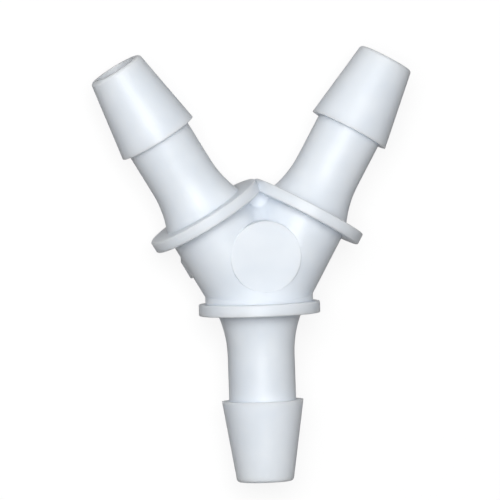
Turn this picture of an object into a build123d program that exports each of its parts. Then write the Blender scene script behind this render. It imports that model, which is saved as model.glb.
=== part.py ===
from build123d import *
from math import cos, radians, sin, tan
import os

# Barbed Y connector for flexible tubing, moulded in one piece.
# The three bore axes meet at the origin and lie in the XY plane. The stem runs along -Y, the
# two arms leave at arm_angle on either side of +Y, and the round pad faces +Z. Millimetres.

# Barbed ends, all three alike
bore_dia = 6.4
neck_dia = 9.85
barb_dia = 12.0
tip_dia = 8.3
neck_length = 12.7       # stop flange to barb shoulder
barb_length = 11.95      # barb shoulder to tip
tip_edge_radius = 0.55

# Flare that carries the neck out to its stop flange
flare_dia = 12.25
flare_length = 6.0

# Stop flanges
flange_dia = 17.85
flange_thickness = 1.7
flange_edge_chamfer = 0.12

# Forked body
body_dia = 12.7
arm_angle = 30.0         # each arm from the line of the stem
arm_length = 14.25       # meeting point of the axes to the arm's flange
foot_length = 1.1        # straight foot of the body on the stem's flange
crotch_radius = 1.75     # one arm into the other

# Flat web that closes the crotch between the arms
web_thickness = 3.0
web_root_radius = 0.3

# Round pad on the front of the body
pad_dia = 10.6
pad_rise = 0.03          # pad face above the crown of the arms
pad_centre = 6.95        # above the meeting point of the axes
pad_edge_chamfer = 0.1

# Low mound where the runner was cut off, on the outer side of the left arm
gate_start = 8.35        # along the arm from the meeting point of the axes
gate_length = 3.9
gate_slope_length = 1.1
gate_dia = 6.0
gate_height = 0.58
gate_turn = 25.0         # about the arm, from the parting plane towards the back

# Each plane has its Y along one bore axis, away from the meeting point
left_plane = Plane.XY.rotated((0, 0, arm_angle))
right_plane = Plane.XY.rotated((0, 0, -arm_angle))
stem_plane = Plane.XY.rotated((0, 0, 180))
arm_planes = (left_plane, right_plane)
foot_plane = Plane((0, 0, 0), x_dir=(1, 0, 0), z_dir=(0, 1, 0))
hose_end_length = flange_thickness + neck_length + barb_length
touching = 1e-3          # how near a line an edge must lie to be taken as on it


def bore_axis(plane):
    return Axis(plane.origin, plane.y_dir)


def across_bore(plane):
    return Plane(plane.origin, z_dir=plane.y_dir)


def hose_end(plane, flange_start):
    """Stop flange, flared neck and barb, turned about the plane's Y axis."""
    neck_start = flange_start + flange_thickness
    shoulder = neck_start + neck_length
    tip = flange_start + hose_end_length
    flare_root = (flare_dia / 2, neck_start)
    flare_end = (neck_dia / 2, neck_start + flare_length)
    rim = ((flange_dia / 2, flange_start), (flange_dia / 2, neck_start))
    barb = ((barb_dia / 2, shoulder), (tip_dia / 2, tip))
    with BuildPart() as end:
        with BuildSketch(plane) as profile:
            with BuildLine():
                Polyline((0, flange_start), *rim, flare_root)
                TangentArc(flare_end, flare_root, tangent=(0, -1))
                Polyline(flare_end, (neck_dia / 2, shoulder), *barb, (0, tip), (0, flange_start))
            make_face()
            chamfer(profile.vertices().group_by(Axis.X)[-1], flange_edge_chamfer)
            fillet(profile.vertices().sort_by_distance(barb[1])[0], tip_edge_radius)
        revolve(axis=bore_axis(plane))
    return end.part


def forked_body():
    """Two round arms on a straight foot, with a flat web in the crotch."""
    along_x = arm_length * sin(radians(arm_angle))
    along_y = arm_length * cos(radians(arm_angle))
    crotch_top = arm_length / cos(radians(arm_angle))
    foot_half_width = body_dia / 2 / cos(radians(arm_angle)) + foot_length * tan(radians(arm_angle))
    with BuildPart() as body:
        for plane in arm_planes:
            with BuildSketch(across_bore(plane)):
                Circle(body_dia / 2)
            extrude(amount=arm_length)
        split(bisect_by=Plane.XZ, keep=Keep.BOTTOM)
        with BuildSketch():
            Polygon((0, 0), (along_x, along_y), (0, crotch_top), (-along_x, along_y), align=None)
        extrude(amount=web_thickness / 2, both=True)
        fillet(body.edges().filter_by(GeomType.ELLIPSE).filter_by(in_crotch), crotch_radius)
        fillet(body.edges().filter_by(on_web_root), web_root_radius)
        with BuildSketch(foot_plane):
            Ellipse(foot_half_width, body_dia / 2)
        extrude(amount=foot_length)
    return body.part


def in_crotch(edge):
    """True for the edges where one arm meets the other."""
    return abs(edge.center().X) < touching and abs(edge.tangent_at(0.5).X) < touching


def on_web_root(edge):
    """True for the edges where a flat face of the web meets the arms or their fillet."""
    on_face = all(abs(abs((edge @ t).Z) - web_thickness / 2) < touching for t in (0, 0.5, 1))
    along_arm = [edge.tangent_at(0).cross(plane.y_dir).length < touching for plane in arm_planes]
    return on_face and (any(along_arm) or edge.geom_type != GeomType.LINE)


def front_pad():
    """Round pad that stands on the front of the body."""
    with BuildPart() as pad:
        with BuildSketch():
            with Locations((0, pad_centre)):
                Circle(pad_dia / 2)
        extrude(amount=body_dia / 2 + pad_rise)
        chamfer(pad.edges().group_by(Axis.Z)[-1], pad_edge_chamfer)
    return pad.part


def gate_mound():
    """Low round mound where the part was cut from its runner, sloped at its upper end."""
    outwards = left_plane.rotated((0, -gate_turn, 0))
    centre = (gate_dia - body_dia) / 2 - gate_height
    top = centre - gate_dia / 2
    end = gate_start + gate_length
    with BuildPart() as mound:
        with BuildSketch(outwards):
            with BuildLine():
                Polyline((centre, gate_start), (top, gate_start), (top, end - gate_slope_length))
                Polyline((top, end - gate_slope_length), (top + gate_height, end), (centre, end))
                Line((centre, end), (centre, gate_start))
            make_face()
        revolve(axis=Axis(outwards.x_dir * centre, outwards.y_dir))
    return mound.part


stem_end = hose_end(stem_plane, 0)
arm_ends = [hose_end(plane, arm_length) for plane in arm_planes]
body = forked_body()
pad = front_pad()
mound = gate_mound()

with BuildPart() as y_connector:
    add(stem_end)
    add(body)
    add(arm_ends)
    add(pad)
    add(mound)
    for plane, flange_start in ((stem_plane, 0), (left_plane, arm_length), (right_plane, arm_length)):
        with BuildSketch(across_bore(plane)):
            Circle(bore_dia / 2)
        extrude(amount=flange_start + hose_end_length, mode=Mode.SUBTRACT)

y_connector.part.label = "y_connector"
os.makedirs("parts", exist_ok=True)
export_step(y_connector.part, "parts/y_connector.step")
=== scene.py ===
from math import cos, radians, sin

import bpy
from mathutils import Matrix, Vector


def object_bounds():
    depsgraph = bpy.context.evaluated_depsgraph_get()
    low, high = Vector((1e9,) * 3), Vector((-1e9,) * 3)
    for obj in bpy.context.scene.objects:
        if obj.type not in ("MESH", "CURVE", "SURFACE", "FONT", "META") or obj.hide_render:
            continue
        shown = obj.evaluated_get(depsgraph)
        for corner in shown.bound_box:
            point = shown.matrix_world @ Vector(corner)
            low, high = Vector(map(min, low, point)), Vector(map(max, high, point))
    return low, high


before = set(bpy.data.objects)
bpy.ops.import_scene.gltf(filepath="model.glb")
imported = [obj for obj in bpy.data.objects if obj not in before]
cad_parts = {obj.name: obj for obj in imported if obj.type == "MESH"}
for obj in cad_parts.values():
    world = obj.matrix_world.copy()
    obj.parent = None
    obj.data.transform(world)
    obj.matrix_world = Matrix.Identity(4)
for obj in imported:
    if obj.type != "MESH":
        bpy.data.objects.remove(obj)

cad_low, cad_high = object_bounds()


# Y connector: one injection moulding in natural, uncoloured polypropylene, 1.7 mm thick at the
# necks. Barbs, flanges and body come out of the mould in one shot, the bores around three pins.
# Its body stays as built, so this section only gives it its plastic.
def linear(hex_colour):
    """Scene-linear RGBA of an sRGB hex colour."""
    channels = [int(hex_colour[i:i + 2], 16) / 255 for i in (0, 2, 4)]
    return [c / 12.92 if c <= 0.04045 else ((c + 0.055) / 1.055) ** 2.4 for c in channels] + [1.0]


def node(tree, kind, settings={}, inputs={}):
    """Add a node; an input given as a socket is linked, anything else is its value."""
    added = tree.nodes.new(kind)
    for name, value in settings.items():
        setattr(added, name, value)
    for name, value in inputs.items():
        if isinstance(value, bpy.types.NodeSocket):
            tree.links.new(value, added.inputs[name])
        else:
            added.inputs[name].default_value = value
    return added


plastic = bpy.data.materials.new("natural_polypropylene")
plastic.use_nodes = True
tree = plastic.node_tree
skin = tree.nodes["Principled BSDF"]
place = node(tree, "ShaderNodeTexCoord").outputs["Object"]

# Milky white with a cold cast, uneven by a few per cent where the melt flowed: it keeps the
# large faces from looking like paper.
FLOW_PATCH = 0.006
THIN_MILK = "E2E8EF"
THICK_MILK = "E9EEF4"
melt = node(tree, "ShaderNodeTexNoise",
            inputs={"Vector": place, "Scale": 1 / FLOW_PATCH, "Detail": 2.0})
milk = node(tree, "ShaderNodeValToRGB", inputs={"Fac": melt.outputs["Fac"]})
milk.color_ramp.elements[0].position = 0.3
milk.color_ramp.elements[0].color = linear(THIN_MILK)
milk.color_ramp.elements[1].position = 0.7
milk.color_ramp.elements[1].color = linear(THICK_MILK)
tree.links.new(milk.outputs["Color"], skin.inputs["Base Color"])

# The mould was blasted fine and then polished: soft broad highlights of uneven sharpness,
# and no mirror images. The real grain is near 0.02 mm; 0.4 mm is the finest that still shows.
MOULD_GRAIN = 0.0004
GRAIN_DEPTH = 0.00002
GLOSSIEST = 0.36
DULLEST = 0.5
grain = node(tree, "ShaderNodeTexNoise",
             inputs={"Vector": place, "Scale": 1 / MOULD_GRAIN, "Detail": 3.0})
gloss = node(tree, "ShaderNodeMapRange",
             inputs={"Value": grain.outputs["Fac"], "To Min": GLOSSIEST, "To Max": DULLEST})
tree.links.new(gloss.outputs["Result"], skin.inputs["Roughness"])
relief = node(tree, "ShaderNodeBump",
              inputs={"Height": grain.outputs["Fac"], "Strength": 0.15, "Distance": GRAIN_DEPTH})
tree.links.new(relief.outputs["Normal"], skin.inputs["Normal"])

# Light goes a millimetre or so into the plastic and comes out again, as in milk: the corners
# under the flanges and the thin lips of the barbs stay light.
MILK_DEPTH = 0.0014
skin.inputs["IOR"].default_value = 1.49
skin.inputs["Subsurface Weight"].default_value = 1.0
skin.inputs["Subsurface Radius"].default_value = (1.0, 1.0, 1.0)
skin.inputs["Subsurface Scale"].default_value = MILK_DEPTH
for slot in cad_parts["y_connector"].material_slots:
    slot.material = plastic


# Camera: a long lens above the part as it lies, turned a little towards the left arm.
FRAME_PIXELS = 500
JUNCTION_PIXEL = (259.33, 302.5)    # where the three bore axes meet
FRAME_SPAN = 0.0735                 # what the frame takes in at the part
CAMERA_DISTANCE = 1.5
VIEW_YAW = radians(11.0)
VIEW_PITCH = radians(2.7)
VIEW_ROLL = radians(2.0)
SENSOR_WIDTH = 36.0
FARTHEST_SEEN = 10.0
towards_camera = Vector((-sin(VIEW_YAW) * cos(VIEW_PITCH),
                         sin(VIEW_PITCH),
                         cos(VIEW_YAW) * cos(VIEW_PITCH)))
level_right = Vector((0, 1, 0)).cross(towards_camera).normalized()
level_up = towards_camera.cross(level_right)
right = level_right * cos(VIEW_ROLL) - level_up * sin(VIEW_ROLL)
up = level_right * sin(VIEW_ROLL) + level_up * cos(VIEW_ROLL)
pixel = FRAME_SPAN / FRAME_PIXELS
off_right = (JUNCTION_PIXEL[0] - FRAME_PIXELS / 2) * pixel
off_down = (JUNCTION_PIXEL[1] - FRAME_PIXELS / 2) * pixel
aim = up * off_down - right * off_right
bpy.ops.object.camera_add(location=aim + towards_camera * CAMERA_DISTANCE)
camera = bpy.context.object
camera.rotation_euler = Matrix((right, up, towards_camera)).transposed().to_euler()
camera.data.sensor_width = SENSOR_WIDTH
camera.data.lens = SENSOR_WIDTH * CAMERA_DISTANCE / FRAME_SPAN
camera.data.clip_end = FARTHEST_SEEN
bpy.context.scene.camera = camera


# Floor: plain white paper. It glows to the camera and, weaker, to reflections, where it gives
# a white ground; its dull grey base takes the lamps, so the object's shadow stays on it.
FLOOR_SIZE = 6.0
FLOOR_GLOW = 0.86
REFLECTED_SHARE = 0.6
GLOW_COLOUR = "FFFFFF"
BASE_GREY = "6C6C6C"
bpy.ops.mesh.primitive_plane_add(size=FLOOR_SIZE, location=(0, 0, cad_low[2]))
floor = bpy.context.object
floor.name = "floor"
paper = bpy.data.materials.new("white_paper")
paper.use_nodes = True
tree = paper.node_tree
sheet = tree.nodes["Principled BSDF"]
rays = node(tree, "ShaderNodeLightPath").outputs
through = node(tree, "ShaderNodeMath", {"operation": "MAXIMUM"},
               {0: rays["Is Glossy Ray"], 1: rays["Is Transmission Ray"]})
weaker = node(tree, "ShaderNodeMath", {"operation": "MULTIPLY"},
              {0: through.outputs[0], 1: REFLECTED_SHARE})
seen = node(tree, "ShaderNodeMath", {"operation": "MAXIMUM"},
            {0: rays["Is Camera Ray"], 1: weaker.outputs[0]})
glow = node(tree, "ShaderNodeMath", {"operation": "MULTIPLY"},
            {0: seen.outputs[0], 1: FLOOR_GLOW})
tree.links.new(glow.outputs[0], sheet.inputs["Emission Strength"])
sheet.inputs["Emission Color"].default_value = linear(GLOW_COLOUR)
sheet.inputs["Base Color"].default_value = linear(BASE_GREY)
sheet.inputs["Roughness"].default_value = 1.0
sheet.inputs["Specular IOR Level"].default_value = 0.0
floor.data.materials.append(paper)


# Light: one soft box almost in line with the camera, a little above it, a weak rim light, and
# an even surround.
SURROUND = 0.15
SURROUND_COLOUR = "FFFFFF"
world = bpy.data.worlds.new("studio")
bpy.context.scene.world = world
world.use_nodes = True
surround = world.node_tree.nodes["Background"]
surround.inputs["Color"].default_value = linear(SURROUND_COLOUR)
surround.inputs["Strength"].default_value = SURROUND

KEY_DISTANCE = 0.8
KEY_SIZE = 0.45
KEY_RISE = 0.14                     # how far it leans up the frame
KEY_POWER = 6.17
key_direction = (towards_camera + up * KEY_RISE).normalized()
bpy.ops.object.light_add(type="AREA", location=key_direction * KEY_DISTANCE)
key = bpy.context.object
key.name = "key"
key.data.shape = "SQUARE"
key.data.size = KEY_SIZE
key.data.energy = KEY_POWER
key.rotation_euler = key_direction.to_track_quat("Z", "Y").to_euler()
key.visible_camera = False

# The rim light stands low beyond the tip of the left arm and shines along it, into its mouth.
RIM_DISTANCE = 0.8
RIM_SIZE = 0.3
RIM_POWER = 0.6
RIM_ELEVATION = radians(14.0)
RIM_TURN = radians(30.0)            # from the top of the frame to the left
rim_ground = up * cos(RIM_TURN) - right * sin(RIM_TURN)
rim_direction = rim_ground * cos(RIM_ELEVATION) + towards_camera * sin(RIM_ELEVATION)
bpy.ops.object.light_add(type="AREA", location=rim_direction * RIM_DISTANCE)
rim = bpy.context.object
rim.name = "rim"
rim.data.shape = "SQUARE"
rim.data.size = RIM_SIZE
rim.data.energy = RIM_POWER
rim.rotation_euler = rim_direction.to_track_quat("Z", "Y").to_euler()
rim.visible_camera = False

bpy.context.scene.view_settings.view_transform = "Standard"
